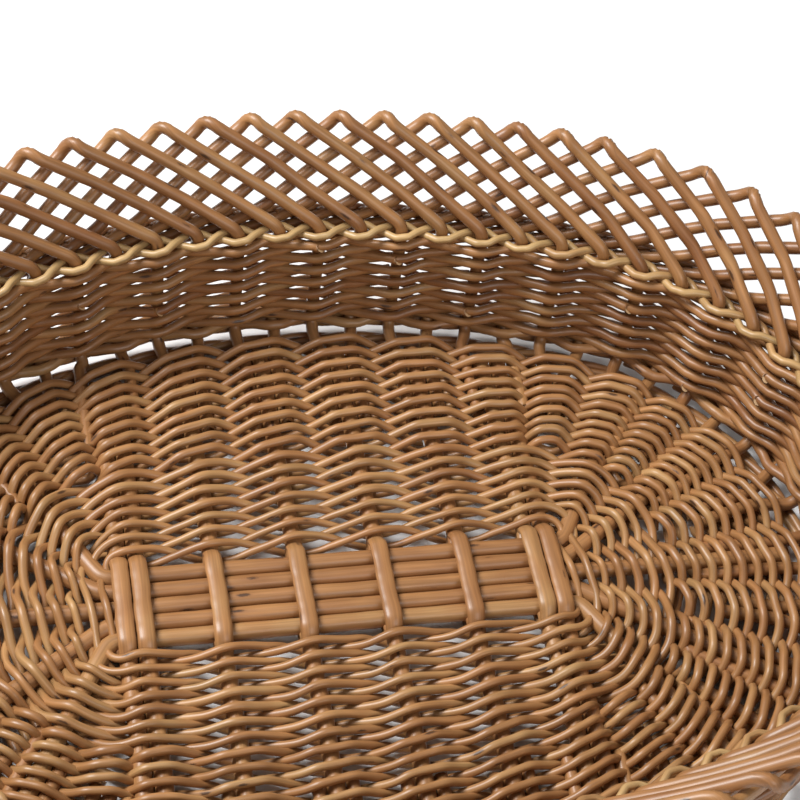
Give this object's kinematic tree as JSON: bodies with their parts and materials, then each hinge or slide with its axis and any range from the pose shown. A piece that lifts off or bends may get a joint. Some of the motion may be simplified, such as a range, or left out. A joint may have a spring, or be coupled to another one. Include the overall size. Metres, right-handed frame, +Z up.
{
  "type": "woven fruit basket",
  "caption": "Oval woven willow basket with a stick and weave base, a waled side wall and an open lattice border.",
  "frame": {"origin": "middle of the face that the basket stands on", "axes": "+X along the length, +Y across, +Z up"},
  "size_m": [0.42, 0.3112, 0.0957],
  "materials": {
    "base_stick": "satin",
    "base_weaver": "satin",
    "wale_rod": "satin",
    "pairing_rod": "satin",
    "stake_rod": "satin",
    "border_rod": "satin"
  },
  "bodies": {
    "root": {"long_stick_1": "base_stick", "long_stick_2": "base_stick", "long_stick_3": "base_stick", "long_stick_4": "base_stick", "long_stick_5": "base_stick", "cross_stick_1": "base_stick", "cross_stick_2": "base_stick", "cross_stick_3": "base_stick", "cross_stick_4": "base_stick", "cross_stick_5": "base_stick", "cross_stick_6": "base_stick", "cross_stick_7": "base_stick", "cross_stick_8": "base_stick", "base_round_1": "base_weaver", "base_round_2": "base_weaver", "base_round_3": "base_weaver", "base_round_4": "base_weaver", "base_round_5": "base_weaver", "base_round_6": "base_weaver", "base_round_7": "base_weaver", "base_round_8": "base_weaver", "base_round_9": "base_weaver", "base_round_10": "base_weaver", "base_round_11": "base_weaver", "base_round_12": "base_weaver", "base_round_13": "base_weaver", "base_round_14": "base_weaver", "base_round_15": "base_weaver", "base_round_16": "base_weaver", "foot_wale": "wale_rod", "side_wale_1": "wale_rod", "side_wale_2": "wale_rod", "side_wale_3": "wale_rod", "side_wale_4": "wale_rod", "side_wale_5": "wale_rod", "side_wale_6": "wale_rod", "side_wale_7": "wale_rod", "top_pairing": "pairing_rod", "lattice_stakes_back": "stake_rod", "lattice_stakes_right": "stake_rod", "lattice_stakes_front": "stake_rod", "lattice_stakes_left": "stake_rod", "rolled_border": "border_rod"}
  },
  "joints": []
}
